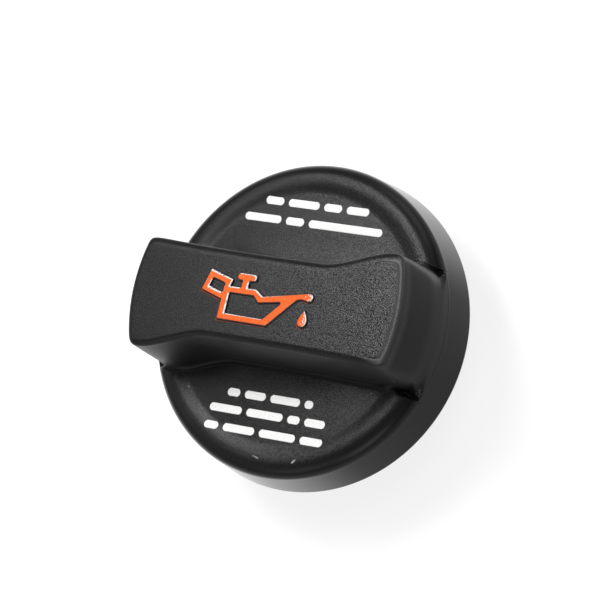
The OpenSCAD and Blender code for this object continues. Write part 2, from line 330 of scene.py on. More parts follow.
def rayAngles():
    # Ray directions, crowded at the grip's corners: the running sum of 1 + bells at the corners, shared out
    # evenly
    count, spread = skinStations["rays"], math.radians(skinStations["crowdSpread"])
    fine = np.linspace(0, fullTurn, 7201)
    corners = np.array([flaredCorner, np.pi - plainCorner, np.pi + flaredCorner, fullTurn - plainCorner])
    bells = np.exp(-((fine[:, None] - corners) / spread) ** 2).sum(1)
    way = np.concatenate([[0], np.cumsum(1 + skinStations["crowding"] * bells)[1:]])
    return np.interp(np.arange(count) / count * way[-1], way, fine)


def footRadius(a, z, grow):
    # The grip's outline at height z grown all round, but never past the skirt's cone
    return np.minimum(gripRadius(a, z, draftAt(z) + grow, -grow), coneRadius(z))


def endShares(a):
    # By the ray's direction: 1 between the corners of the right end, and 1 at both ends
    fromRight = (a + np.pi) % fullTurn - np.pi
    corner = np.where(fromRight > 0, flaredCorner, plainCorner)
    atRight = ease((corner - np.abs(fromRight)) / f["rightBlend"] + 0.5)
    atEnd = ease((np.abs(np.cos(a)) - f["endFrom"]) / f["endBlend"])
    return atRight, atEnd


# Each station of the outer skin is (radius, height, grain, painted highlight). Grain is 1 on the pad and
# fades out round its edge, is less on the half-moon faces and 0 on walls and skirt. The painted highlight
# is a lighter colour, most on the right end's edge, that stands in for the light band on that edge.

def topStations(a, atRight):
    # The pad, the strip round it, and the edge as a quarter of an ellipse
    sideEdge = f["edgeRadius"] + f["farEdge"] * ease(np.sin(a) / f["farBlend"])
    endEdge = f["edgeRadius"] + f["endEdge"] * atRight
    border = f["padBorder"] + (f["endBorder"] - f["padBorder"]) * atRight
    step = f["padStep"] * atRight
    rise = padZ - step - shoulderZ
    padEdge = gripRadius(a, shoulderZ, -sideEdge - f["padBorder"], endEdge + border)
    stations = [(padEdge * share, padZ, 1, 0) for share in skinStations["pad"]]
    # The strip's last column is a painted highlight: a lighter colour at the right end, standing in for the
    # light band there
    for out, down, paintedHighlight in skinStations["strip"]:
        grain = 1 - wearAndHighlight["stripSmooth"] * down * atRight
        stations.append((padEdge + out * border, padZ - down * step, grain, paintedHighlight * atRight))
    steep, late = wearAndHighlight["edgeHighlightRamp"]
    for t in np.linspace(np.pi / 2, 0, skinStations["edge"]):
        back, up = 1 - math.cos(t), math.sin(t)
        radius = gripRadius(a, shoulderZ, -sideEdge * back, endEdge * back)
        grain = (1 - wearAndHighlight["edgeSmooth"] * atRight) * up ** 2
        stations.append((radius, shoulderZ + rise * up, grain, atRight * ease(up * steep - late)))
    return stations


def wallStations(a, atRight):
    stations = []
    for share in skinStations["wall"]:
        z = shoulderZ + (leanZ - shoulderZ) * share
        # Only the wall's top station at the right end takes the painted highlight, a lighter colour for the
        # light band there
        paintedHighlight = wearAndHighlight["wallHighlight"] * atRight * (share == skinStations["wall"][0])
        stations.append((gripRadius(a, z, draftAt(z), 0), z, 0, paintedHighlight))
    return stations


def footStations(a, atEnd):
    # A quarter circle out from the wall, then the ledge. The foot's height is where its outline meets the
    # body, found again until it stands still. footWay is the way there, and lift how much the face rises.
    foot = f["footRadius"] + f["endFoot"] * atEnd
    ledge, ledgeHeight = f["ledge"] * (1 - atEnd), f["ledgeHeight"] * (1 - atEnd)

    def wayOut(z):
        return wayAt(footRadius(a, z, foot + ledge + skinStations["least"]))

    footZ = np.full(a.shape, crestZ)
    for _ in range(9):
        footZ = bodyHeight(wayOut(footZ))
    footWay = wayOut(footZ)
    lift = f["footLift"] * (1 - ease((footWay - f["liftFrom"]) / f["liftRun"]))
    stations = []
    for t in np.radians(skinStations["foot"]):
        z = footZ + lift + ledgeHeight + foot * (1 - math.sin(t))
        stations.append((footRadius(a, z, foot * (1 - math.cos(t))), z, 0, 0))
    for out, up in skinStations["ledge"]:
        z = footZ + lift + ledgeHeight * up
        stations.append((footRadius(a, z, foot + ledge * out), z, 0, 0))
    return stations, footWay, lift


def bodyStations(footWay, lift):
    # The half-moon faces, the rim and the skirt, each stop at least as far out as the foot
    skirtWay = (crestZ - f["rimRadius"] - skirtZ) / math.cos(math.radians(f["taper"]))
    stops = np.concatenate([
        skinStations["face"],
        np.linspace(dishRadius, dishRadius + f["dishSlope"], skinStations["dish"]),
        [rimIn - f["crest"] / 2, rimIn],
        rimIn + rimArc * np.linspace(*skinStations["rim"]),
        rimIn + rimArc + skirtWay * np.linspace(*skinStations["skirt"]),
    ])
    stations = []
    for k, stop in enumerate(stops):
        s = np.maximum(stop, footWay + skinStations["least"] * k)
        grain = wearAndHighlight["faceGrain"] * (1 - ease((s - rimIn) / wearAndHighlight["grainFade"]))
        near = np.clip(1 - (s - footWay) / f["footSpread"], 0, 1) ** 2
        stations.append((bodyRadius(s), bodyHeight(s) + lift * near, grain, 0))
    return stations


def outerStations(a):
    atRight, atEnd = endShares(a)
    foot, footWay, lift = footStations(a, atEnd)
    return topStations(a, atRight) + wallStations(a, atRight) + foot + bodyStations(footWay, lift)


def innerStations(a):
    # Section of the underside from the skirt's edge up its inner wall, round the locating ring with its snap
    # beads, across the plate and up into the grip's hollow. Each corner is (radius, height, softness).
    ringIn = flangeRadius + f["flangeGap"]
    ringOut = ringIn + f["ringWall"]
    ringZ = flangeZ - f["ringBelow"]
    beadTop = flangeZ - f["beadGap"]
    toBead = np.abs((np.degrees(a) % 90) - 45)
    beadShare = ease((f["beadSpan"] / 2 - toBead) / f["beadEnd"] + 0.5)
    beadRadius = ringIn - 0.02 - (ringIn - flangeRadius + f["bead"]) * beadShare
    hollow = gripRadius(a, shoulderZ, -f["gripWall"], f["gripWall"])
    hollow = np.minimum(hollow, flangeRadius - f["flangeGap"])
    ceiling = shellHigh[2] - f["gripWall"]
    section = [
        (coneRadius(skirtZ + 1.2), skirtZ + 1.2),
        (coneRadius(skirtZ), skirtZ, 0.5),
        (coneRadius(skirtZ) - f["skirtWall"], skirtZ, 0.3),
        (coneRadius(plateZ) - f["skirtWall"], plateZ, 0.5),
        (ringOut, plateZ, 0.4),
        (ringOut - 0.05, ringZ, 0.25),
        (ringIn, ringZ, 0.25),
        (ringIn, beadTop - f["beadHeight"], 0.1),
        (beadRadius, beadTop - f["beadHeight"] / 2, 0.15),
        (beadRadius, beadTop, 0.1),
        (ringIn, beadTop + 0.02, 0.05),
        (ringIn, plateZ, 0.2),
        (hollow, plateZ, 0.3),
        (hollow, ceiling, 0.8),
        (hollow * 0.5, ceiling),
    ]
    return softCorners(section, 0.2), ceiling


def roundedBar(length, width, height, radius=0.2):
    # A bar's closed section, a rectangle with softened corners, carried along X and drawn in at both ends
    corners = [(-width / 2, 0.0), (width / 2, 0.0), (width / 2, height), (-width / 2, height)]
    loop = np.array(softCorners(corners, radius, closed=True))
    middle = np.array([0, height / 2])
    ends = np.array([[0, 0.02], [0, 0.6], [radius * 0.3, 0.9], [radius, 1.0]])    # way along, share of width
    along = np.concatenate([ends[:, 0], length - ends[::-1, 0]])
    inward = radius * (1 - np.concatenate([ends[:, 1], ends[::-1, 1]]))
    scale = 1 - 2 * inward[:, None, None] / np.array([width, height])
    ring = middle + (loop[None] - middle) * scale
    x = np.broadcast_to(along[:, None, None], ring.shape[:2] + (1,))
    return np.concatenate([x, ring], -1)


def sweptSolid(rings):
    # rings: sections x points x 3. Quads join neighbouring closed sections, and a fan closes each end section
    # to its own middle point.
    sections, around = rings.shape[:2]
    j = np.arange(around)
    nextJ = (j + 1) % around
    i = np.arange(sections - 1)[:, None] * around
    quads = np.stack([i + j, i + nextJ, i + around + nextJ, i + around + j], -1).reshape(-1, 4)
    last, tips = (sections - 1) * around, sections * around
    first = np.stack([np.full(around, tips), nextJ, j], -1)
    end = np.stack([np.full(around, tips + 1), last + j, last + nextJ], -1)
    points = np.concatenate([rings.reshape(-1, 3), [rings[0].mean(0)], [rings[-1].mean(0)]])
    return points, [quads, first, end]


def turnedAbout(points, degrees):
    c, s = math.cos(math.radians(degrees)), math.sin(math.radians(degrees))
    return points @ np.array([[c, s, 0], [-s, c, 0], [0, 0, 1]])


def shellRibs():
    # Twelve short ribs from the locating ring to the skirt, and cross ribs in the grip's hollow
    sink = f["ribSink"]
    inner = flangeRadius + f["flangeGap"] + f["ringWall"] / 2
    outer = coneRadius(plateZ) - f["skirtWall"] / 2
    bar = roundedBar(outer - inner, f["rib"], plateZ - flangeZ + f["rimRibSink"])
    bar += [inner, 0, flangeZ]
    ribs = [turnedAbout(bar, 360 * (i + 0.5) / f["rimRibs"]) for i in range(f["rimRibs"])]
    ceiling = shellHigh[2] - f["gripWall"]
    pitch = 2 * flangeRadius / (f["gripRibs"] + 1)
    for i in range(1, f["gripRibs"] + 1):
        x = i * pitch - flangeRadius
        reach, back = (sideY(np.array(at)) - f["gripWall"] + sink for at in (x, -x))
        cross = roundedBar(reach + back, f["rib"], ceiling - plateZ + sink)
        ribs.append(turnedAbout(cross, 90) + [x, -back, plateZ])
    return ribs


def joinParts(parts):
    # Several (points, faces) as one
    points, faces, start = [], [], 0
    for p, fs in parts:
        points.append(p)
        faces += [g + start for g in fs]
        start += len(p)
    return np.concatenate(points), faces


def capShell(materials):
    a = rayAngles()
    outer = outerStations(a)
    inner, ceiling = innerStations(a)
    stations = outer + [(r, z, 0, 0) for r, z in inner[1:]]
    skin = turnedSkin(a, stations, padZ, ceiling)
    points, faces = joinParts([skin] + [sweptSolid(r) for r in shellRibs()])
    layers = {"grain": np.zeros(len(points)), "paintedHighlight": np.zeros(len(points))}
    count = len(a) * len(stations)
    # The grain and the painted highlight go to the mesh as values per point
    for k, key in ((2, "grain"), (3, "paintedHighlight")):
        layers[key][:count] = np.stack([np.broadcast_to(s[k], a.shape) for s in stations], 1).ravel()
    layers["grain"][count] = 1
    piece = putPiece("moulded_cap", points, faces, materials, layers)
    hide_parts("cap_shell")


# neck insert and sealing ring: their forms

neckForm = {    # mm and degrees
    "neckDiameter": 36.0, "wall": 2.2, "chamfer": 0.8, "groove": 0.8, "middle": 2.0, "steps": 256,
    "lugDiameter": 43.0, "lugDrop": 8.0, "lug": 4.0, "lugSpan": 38.0, "leadSlope": 14.0, "leadSpan": 15.0,
    "lugTurn": 90.0, "lugSteps": 60, "lugEnd": 0.25, "lugEndSoft": 0.08,
}


def evenAngles(count):
    return np.arange(count) / count * fullTurn


def bayonetLug(n):
    # A closed section carried round the neck: its top is level, then falls at the lead-in by the distance
    # past the start of the slope times tan(leadSlope). Both ends are drawn in a little.
    neck, half = n["neckDiameter"] / 2, n["lugSpan"] / 2
    a = np.radians(np.linspace(-half, half, n["lugSteps"]))
    soft = n["lugEnd"] / neck * np.array([0, 0.3, 1])
    a = np.concatenate([a[0] + soft, a[1:-1], a[-1] - soft[::-1]])
    inset = np.zeros(len(a))
    inset[[0, -1]], inset[[1, -2]] = n["lugEnd"], n["lugEndSoft"]
    past = -np.sin(a + math.radians(half - n["leadSpan"])) * neck
    top = -n["lugDrop"] - np.maximum(past, 0) * math.tan(math.radians(n["leadSlope"])) - inset
    low = -n["lugDrop"] - n["lug"] + inset
    slope = (n["lugDiameter"] - n["neckDiameter"]) / 4
    out = n["lugDiameter"] / 2 - inset
    root = np.full(a.shape, neck - n["wall"] / 2)
    section = [(root, low), (neck + slope - inset, low), (out, low + slope), (out, top), (root, top)]
    loop = np.stack([np.stack(corner, -1) for corner in softCorners(section, 0.3, closed=True)], 1)
    return aroundAxis(loop[..., 0], a, loop[..., 1])[::-1]


def bayonetNeck(materials):
    # The insert's section turned about the axis, each corner as (radius, height, softness), and two lugs
    n = neckForm
    neck, top, end = n["neckDiameter"] / 2, neckHigh[2], neckLow[2]
    bore, groove = neck - n["wall"], neck - n["groove"]
    section = [
        (n["middle"], top), (flangeRadius, top, 0.4), (flangeRadius, flangeZ, 0.25), (groove, flangeZ, 0.15),
        (groove, 0.0, 0.15), (neck, 0.0, 0.25), (neck, end + n["chamfer"], 0.3),
        (neck - n["chamfer"], end, 0.2), (bore, end, 0.3), (bore, flangeZ, 0.8), (n["middle"], flangeZ),
    ]
    skin = turnedSkin(evenAngles(n["steps"]), softCorners(section, 0.3, 5), top, flangeZ)
    lug = bayonetLug(n)
    lugs = [sweptSolid(turnedAbout(lug, n["lugTurn"] + 180 * i)) for i in range(2)]
    points, faces = joinParts([skin] + lugs)
    piece = putPiece("bayonet_insert", points, faces, materials)
    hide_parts("bayonet_neck")


sealForm = {    # mm
    "inner": 34.8, "landInner": 44.8, "land": 2.8, "landHeight": 0.6, "steps": 256,
}


def sealRing(materials):
    # The section of the ring, a flat band with a raised land below, turned about the axis
    s = sealForm
    inner, outer, top = s["inner"] / 2, sealHigh[0], sealHigh[2]
    landIn, landOut, rise = s["landInner"] / 2, s["landInner"] / 2 + s["land"], s["landHeight"]
    section = [
        (inner, rise, 0.15), (landIn - rise / 2, rise, 0.15), (landIn, 0.0, 0.2), (landOut, 0.0, 0.2),
        (landOut, rise, 0.1), (outer, rise, 0.4), (outer, top, 0.4), (inner, top, 0.15),
    ]
    loop = np.array(softCorners(section[::-1], 0.2, 5, closed=True))
    points = aroundAxis(loop[:, 0], evenAngles(s["steps"]), loop[:, 1]).reshape(-1, 3)
    faces = [gridFaces(s["steps"], len(loop), True)]
    piece = putPiece("sealing_ring", points, faces, materials)
    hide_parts("seal_ring")


# raised oil-can symbol

canSymbol = {    # mm, on the pad, X along the grip
    "height": f["symbolHeight"], "edge": 0.1, "draft": 0.07, "sink": 0.05, "inkFilm": 0.012,
    "crown": ((0, 0), (0.55, 0.12), (0.9, 0.45), (1, 1)),    # shares of the rounded edge, out and down
    "shiftAt": (-14.0, -9.5, -8.0, -1.0, 0.5, 3.0, 9.0, 12.0),    # how the orange is misplaced along X
    "inkLeft": (-0.38, -0.38, -0.38, -0.38, -0.3, -0.1, -0.1, -0.3),
    "inkDrop": (-0.32, -0.3, -0.14, -0.14, -0.12, 0.0, 0.0, 0.0),
    "whiteShift": (-0.03, 0.16), "missShift": (-0.44, -0.34),
    "bar": (-5.75, -2.7, 3.94, 0.72),    # left and right middle, height and radius of the crossbar
    "drop": (10.85, -1.25, -4.65, 1.3216, 0.12),    # X and Y of its point, lowest Y, half width and lean
}
canOutlines = {    # softness, and corners of what is raised or cut from it
    "handle": (0.2, [(-13.05, 4.7), (-7.44, 3.08), (-8.2, 0.3), (-8.7, -1.45), (-14.3, 0.16)]),
    "handleWindow": (0.25, [(-12.2, 2.98), (-9.3, 2.2), (-8.98, 1.9), (-9.0, 0.4), (-9.35, 0.12),
                            (-12.8, 1.05)]),
    "body": (0.2, [(-9.15, 1.6), (-1.4, 1.62), (0.45, 0.36), (11.0, 2.42), (11.6, 2.34), (12.0, 1.95),
                   (12.0, 1.4), (11.75, 0.9), (11.2, 0.7), (9.6, 1.02), (8.9, 0.92), (8.3, 0.66),
                   (2.6, -5.55), (-9.1, -5.5)]),
    "bodyWindow": (0.2, [(-7.65, 0.3), (-1.75, 0.36), (-0.35, -1.0), (4.6, -0.2), (4.9, -0.35),
                         (4.88, -0.75), (1.6, -4.32), (-7.62, -4.2)]),
    "capStem": (0.0, [(-5.1, 1.2), (-3.6, 1.2), (-3.6, 3.6), (-5.1, 3.6)]),
}


def capBar():
    # Rounded crossbar of the filler on top of the can: half circles at both ends
    left, right, middle, r = canSymbol["bar"]
    t = np.linspace(np.pi / 2, 3 * np.pi / 2, 14)
    leftEnd = np.stack([left + r * np.cos(t), middle + r * np.sin(t)], -1)
    rightEnd = np.stack([right + r * np.cos(t + np.pi), middle + r * np.sin(t + np.pi)], -1)
    return np.concatenate([leftEnd, rightEnd])


def fallingDrop():
    # Drawn out to a point: x = half width sin t (sin(t/2))^1.15, less the lean, and y from the point down
    x0, high, low, half, lean = canSymbol["drop"]
    t = np.linspace(0, fullTurn, 40, endpoint=False)
    x = x0 - lean * (1 - np.cos(t)) / 2 + half * np.sin(t) * np.abs(np.sin(t / 2)) ** 1.15
    y = (high + low) / 2 + (high - low) / 2 * np.cos(t)
    return np.stack([x, y], -1)[::-1]


def canShapes():
    shapes = {}
    for key, (radius, corners) in canOutlines.items():
        shapes[key] = np.array(softCorners(corners, radius, 5, closed=True) if radius else corners)
    return {**shapes, "capBar": capBar(), "drop": fallingDrop()}


def insideOutline(points, outline):
    # Even-odd rule over whole arrays: count the edges that a ray to the right crosses
    x, y = points[:, 0][:, None], points[:, 1][:, None]
    ax, ay = outline[:, 0], outline[:, 1]
    bx, by = np.roll(ax, -1), np.roll(ay, -1)
    crosses = (ay > y) != (by > y)
    with np.errstate(divide="ignore", invalid="ignore"):
        at = ax + (y - ay) / (by - ay) * (bx - ax)
    return (crosses & (x < at)).sum(1) % 2 == 1


def insideAny(points, shapes, keys):
    return np.any([insideOutline(points, shapes[key]) for key in keys], axis=0)


def insideSymbol(points, shapes):
    inside = insideAny(points, shapes, ("capStem", "capBar", "drop"))
    for key in ("handle", "body"):
        inside |= insideOutline(points, shapes[key]) & ~insideOutline(points, shapes[key + "Window"])
    return inside


def movedShapes(shapes, at, dx, dy):
    # Each point moves by what dx and dy say at its x
    moved = {}
    for key, line in shapes.items():
        moved[key] = line + np.stack([np.interp(line[:, 0], at, dx), np.interp(line[:, 0], at, dy)], -1)
    return moved


def triangulated(outlines):
    # Constrained triangulation of closed outlines that may cross
    points, edges = [], []
    for line in outlines:
        start, n = len(points), len(line)
        points += [tuple(p) for p in line]
        edges += [(start + i, start + (i + 1) % n) for i in range(n)]
    verts, _, tris, _, _, _ = delaunay_2d_cdt(points, edges, [], 0, 1e-5)
    return np.array([tuple(v) for v in verts]), np.array(tris)


def grownSheet(verts, tris, keep, profile):
    # A flat region of the triangulation raised into a solid. Its border is carried outwards and down by the
    # profile's (out, height) steps, each point along its mitre: the sum of the two edge normals over 1 plus
    # their dot product, which is kept from growing long at sharp corners.
    used = tris[keep]
    area = np.cross(verts[used[:, 1]] - verts[used[:, 0]], verts[used[:, 2]] - verts[used[:, 0]])
    used = np.where(area[:, None] < 0, used[:, ::-1], used)
    corners, number = np.unique(used, return_inverse=True)
    used, flat = number.reshape(-1, 3), verts[corners]
    count = len(flat)
    edges = np.concatenate([used[:, [0, 1]], used[:, [1, 2]], used[:, [2, 0]]])
    twins = np.isin(edges[:, 0] * count + edges[:, 1], edges[:, 1] * count + edges[:, 0])
    border = edges[~twins]
    d = flat[border[:, 1]] - flat[border[:, 0]]
    d /= np.linalg.norm(d, axis=1, keepdims=True) + 1e-12
    outward = np.stack([d[:, 1], -d[:, 0]], 1)
    first, second = np.zeros((count, 2)), np.zeros((count, 2))
    first[border[:, 0]], second[border[:, 1]] = outward, outward
    turn = np.maximum(1 + (first * second).sum(1, keepdims=True), 0.35)
    mitre = (first + second) / turn
    mitre[np.linalg.norm(first, axis=1) * np.linalg.norm(second, axis=1) < 0.5] = 0
    layers = [np.concatenate([flat + mitre * out, np.full((count, 1), up)], 1) for out, up in profile]
    walls = []
    for k in range(len(profile) - 1):
        p, q = border[:, 0] + k * count, border[:, 1] + k * count
        walls.append(np.stack([p, p + count, q + count, q], 1))
    bottom = used[:, ::-1] + (len(profile) - 1) * count
    points = np.concatenate(layers)
    faces = [used, np.concatenate(walls), bottom]
    seen = np.unique(np.concatenate([g.ravel() for g in faces]))
    renumber = np.zeros(len(points), int)
    renumber[seen] = np.arange(len(seen))
    return points[seen], [renumber[g] for g in faces], flat[used].mean(1)


def raisedSymbol(materials):
    # The can stands up from the pad. White is printed on its top a little high, and orange over it a little
    # low and to the left. So white shows along the upper and right edges and bare plastic at the lower right.
    # Where no white lies under it the orange is dark, as in the thin line that misses the can at the lower
    # left.
    c = canSymbol
    shapes = canShapes()
    orange = movedShapes(shapes, c["shiftAt"], c["inkLeft"], c["inkDrop"])
    white = movedShapes(shapes, [0], c["whiteShift"][:1], c["whiteShift"][1:])
    misplaced = movedShapes(shapes, [0], c["missShift"][:1], c["missShift"][1:])
    lines = [line for group in (shapes, orange, white, misplaced) for line in group.values()]
    verts, tris = triangulated(lines)
    centres = verts[tris].mean(1)
    missed = insideAny(centres, misplaced, ("handle", "body", "drop"))
    missed &= ~insideAny(centres, shapes, ("handle", "body", "capStem", "capBar", "drop"))
    high, edge, foot = padZ + c["height"], c["edge"], c["edge"] + c["draft"]
    profile = [(edge * out, high - edge * down) for out, down in c["crown"]]
    profile += [(edge + c["draft"] * 0.7, padZ + 0.1), (foot + 0.05, padZ + 0.02)]
    profile += [(foot + 0.1, padZ - c["sink"])]
    points, faces, middles = grownSheet(verts, tris, insideSymbol(centres, shapes), profile)
    ink, under = insideSymbol(middles, orange), insideSymbol(middles, white)
    top = np.where(ink, np.where(under, 1, 3), np.where(under, 2, 0))
    rest = np.zeros(len(faces[1]) + len(faces[2]), int)
    putPiece("oil_can_symbol", points, faces, materials,
             faceMaterial=np.concatenate([top, rest]), smooth=np.concatenate([top < 0, rest == 0]))
    film = [(0, padZ + c["inkFilm"]), (0.01, padZ - c["sink"])]
    points, faces, _ = grownSheet(verts, tris, missed, film)
    putPiece("symbol_overprint", points, faces, materials[3:], smooth=False)


# white print on the half-moon faces

printBars = {    # mm: plain rounded bars, in lines along the grip
    "film": 0.02, "rimSink": 0.03, "sink": 0.06, "height": 1.8, "gap": 1.15, "along": 60, "across": 9,
    "lines": [    # middle, left end, right end, and the share of each bar
        (24.5, -13.8, 11.2, (4, 7, 4, 5)),
        (20.5, -18.0, 15.4, (6, 3, 12)),
        (-17.7, -11.6, 9.2, (3, 5, 7, 2)),
        (-21.4, -15.0, 13.0, (8, 9, 3, 5)),
        (-25.3, -15.1, 13.5, (3, 7, 8, 5)),
    ],
}


def printBar(x0, x1, y, p):
    # A bar is x = middle + u (half length - h + h sqrt(1 - v^2)), y = middle + h v, laid on the face's own
    # height, and closed below by the same grid sunk into the face
    h, half = p["height"] / 2, (x1 - x0) / 2
    u = np.sin(np.linspace(-1, 1, p["along"]) * np.pi / 2)[:, None]
    v = np.sin(np.linspace(-1, 1, p["across"]) * np.pi / 2 * 0.97)[None, :]
    x = (x0 + x1) / 2 + u * (half - h + h * np.sqrt(1 - v * v))
    yy = y + h * v + 0 * u
    z = bodyHeight(np.hypot(x, yy))
    rim = (np.abs(u) > 0.9999) | (np.abs(v) >= np.abs(v).max() - 1e-9)
    top = np.stack([x, yy, z + np.where(rim, -p["rimSink"], p["film"])], -1)
    low = np.stack([x, yy, z - p["sink"]], -1)
    rows, columns = top.shape[:2]
    i, j = np.arange(rows - 1)[:, None] * columns, np.arange(columns - 1)[None, :]
    up = np.stack([i + j, i + j + columns, i + j + columns + 1, i + j + 1], -1).reshape(-1, 4)
    loop = np.concatenate([
        np.arange(rows) * columns,
        (rows - 1) * columns + np.arange(1, columns),
        np.arange(rows - 2, -1, -1) * columns + columns - 1,
        np.arange(columns - 2, 0, -1),
    ])
    after, below = np.roll(loop, -1), rows * columns
    side = np.stack([loop, loop + below, after + below, after], -1)
    return np.concatenate([top.reshape(-1, 3), low.reshape(-1, 3)]), [up, up[:, ::-1] + below, side]


def whitePrint(materials):
    p, bars = printBars, []
    for y, left, right, shares in p["lines"]:
        room = right - left - p["gap"] * (len(shares) - 1)
        x = left
        for share in shares:
            length = room * share / sum(shares)
            bars.append(printBar(x, x + length, y, p))
            x += length + p["gap"]
    points, faces = joinParts(bars)
    putPiece("face_print", points, faces, materials)


# finishes

def addNode(tree, kind, values=None, **settings):
    # One node with its settings; values go to the sockets by name or number, and a socket is linked to
    node = tree.nodes.new(kind)
    for key, value in settings.items():
        setattr(node, key, value)
    for key, value in (values or {}).items():
        if isinstance(value, bpy.types.NodeSocket):
            tree.links.new(value, node.inputs[key])
        else:
            node.inputs[key].default_value = value
    return node


def newGroup(name, inputs, outputs):
    # A shader node group: an input without a number is a vector, and every output is a number
    group = bpy.data.node_groups.new(name, "ShaderNodeTree")
    for key, value in inputs.items():
        kind = "NodeSocketVector" if value is None else "NodeSocketFloat"
        socket = group.interface.new_socket(key, in_out="INPUT", socket_type=kind)
        if value is not None:
            socket.default_value = value
    for key in outputs:
        group.interface.new_socket(key, in_out="OUTPUT", socket_type="NodeSocketFloat")
    return group, group.nodes.new("NodeGroupInput").outputs, group.nodes.new("NodeGroupOutput").inputs


def calc(tree, operation, a, b=0.0, clamp=False):
    return addNode(tree, "ShaderNodeMath", {0: a, 1: b}, operation=operation, use_clamp=clamp).outputs[0]


def plus(tree, a, *others):
    for b in others:
        a = calc(tree, "ADD", a, b)
    return a


def times(tree, a, *others):
    for b in others:
        a = calc(tree, "MULTIPLY", a, b)
    return a


def ranged(tree, value, start, end, low=0.0, high=1.0, **settings):
    # Carries start..end over to low..high, level outside
    limits = {"From Min": start, "From Max": end, "To Min": low, "To Max": high}
    return addNode(tree, "ShaderNodeMapRange", {"Value": value, **limits}, **settings).outputs[0]


def noiseAt(tree, where, scale, detail):
    return addNode(tree, "ShaderNodeTexNoise", {"Vector": where, "Scale": scale, "Detail": detail}).outputs[0]


def blendColour(tree, share, a, b):
    return addNode(tree, "ShaderNodeMix", {0: share, 6: a, 7: b}, data_type="RGBA").outputs[2]


grainForm = {
    "askew": (0.6, 0.4, 0.3), "coarseScale": 0.37, "pitScale": 1.3, "fineHeight": 0.7, "coarseHeight": 0.45,
    "tips": (0.4, 0.62),
}


def grainGroup():
    # Spark-eroded grain: two noises of different size and rounded pits. Height is its relief, and Fleck its
    # bright tips. It is turned askew, so that no flat face lies along the noise's own lattice.
    g = grainForm
    inputs = {"Vector": None, "Scale": 3000.0, "Pits": 0.4}
    group, into, out = newGroup("mouldGrain", inputs, ("Height", "Fleck"))
    askew = addNode(group, "ShaderNodeMapping", {"Vector": into["Vector"], "Rotation": g["askew"]}).outputs[0]
    fine = noiseAt(group, askew, into["Scale"], 2.0)
    coarse = noiseAt(group, askew, times(group, into["Scale"], g["coarseScale"]), 1.0)
    cells = addNode(group, "ShaderNodeTexVoronoi", {
        "Vector": askew, "Scale": times(group, into["Scale"], g["pitScale"])}, feature="SMOOTH_F1").outputs
    both = plus(group, times(group, fine, g["fineHeight"]), times(group, coarse, g["coarseHeight"]))
    pits = times(group, cells["Distance"], into["Pits"])
    group.links.new(calc(group, "SUBTRACT", both, pits), out["Height"])
    group.links.new(ranged(group, fine, *g["tips"]), out["Fleck"])
    return group


dustForm = {"wobbleScale": 6.0, "raggedness": 0.12, "sharpness": 14.0}


def dustGroup():
    # Sparse specks: in a few random cells, their share being Amount, a small blob with a ragged edge
    inputs = {"Vector": None, "Scale": 400.0, "Amount": 0.03, "Size": 0.12}
    group, into, out = newGroup("dustSpecks", inputs, ("Mask",))
    wobble = noiseAt(group, into["Vector"], times(group, into["Scale"], dustForm["wobbleScale"]), 1.0)
    cells = addNode(group, "ShaderNodeTexVoronoi", {"Vector": into["Vector"], "Scale": into["Scale"]}).outputs
    pick = addNode(group, "ShaderNodeSeparateColor", {0: cells["Color"]}).outputs[0]
    chosen = calc(group, "LESS_THAN", pick, into["Amount"])
    edge = plus(group, into["Size"], times(group, wobble, dustForm["raggedness"]))
    inside = calc(group, "SUBTRACT", edge, cells["Distance"])
    blob = calc(group, "MULTIPLY", inside, dustForm["sharpness"], clamp=True)
    group.links.new(times(group, blob, chosen), out["Mask"])
    return group


scratchForm = {"raggedScale": 900.0, "ragged": (0.3, 0.6)}


def scratchGroup():
    # A scratch: the distance to the line From-To, against its width, broken up by noise
    inputs = {"Vector": None, "From": None, "To": None, "Width": 0.0001}
    group, into, out = newGroup("scratchMark", inputs, ("Mask",))

    def vector(operation, a, b):
        return addNode(group, "ShaderNodeVectorMath", {0: a, 1: b}, operation=operation).outputs

    line = vector("SUBTRACT", into["To"], into["From"])[0]
    away = vector("SUBTRACT", into["Vector"], into["From"])[0]
    share = calc(group, "DIVIDE", vector("DOT_PRODUCT", away, line)["Value"],
                 vector("DOT_PRODUCT", line, line)["Value"], clamp=True)
    foot = addNode(group, "ShaderNodeVectorMath", {0: line, "Scale": share}, operation="SCALE").outputs[0]
    gap = vector("DISTANCE", away, foot)["Value"]
    mark = calc(group, "SUBTRACT", 1.0, calc(group, "DIVIDE", gap, into["Width"]), clamp=True)
    broken = noiseAt(group, into["Vector"], scratchForm["raggedScale"], 2.0)
    group.links.new(times(group, mark, ranged(group, broken, *scratchForm["ragged"])), out["Mask"])
    return group


effects = {"grain": grainGroup(), "dust": dustGroup(), "scratch": scratchGroup()}


def useEffect(tree, key, where, **values):
    return addNode(tree, "ShaderNodeGroup", {"Vector": where, **values}, node_tree=effects[key]).outputs


def newMaterial(name):
    material = bpy.data.materials.new(name)
    material.use_nodes = True
    tree = material.node_tree
    tree.nodes.clear()
    shader = tree.nodes.new("ShaderNodeBsdfPrincipled")
    end = tree.nodes.new("ShaderNodeOutputMaterial")
    tree.links.new(shader.outputs[0], end.inputs[0])
    where = tree.nodes.new("ShaderNodeTexCoord").outputs["Object"]
    return material, tree, shader, where


def finish(tree, shader, colour, roughness, height, depth):
    # Colour, roughness and relief to the shader's sockets
    bump = addNode(tree, "ShaderNodeBump", {"Height": height, "Distance": depth, "Strength": 1.0})
    for value, socket in ((colour, "Base Color"), (roughness, "Roughness"), (bump.outputs[0], "Normal")):
        tree.links.new(value, shader.inputs[socket])


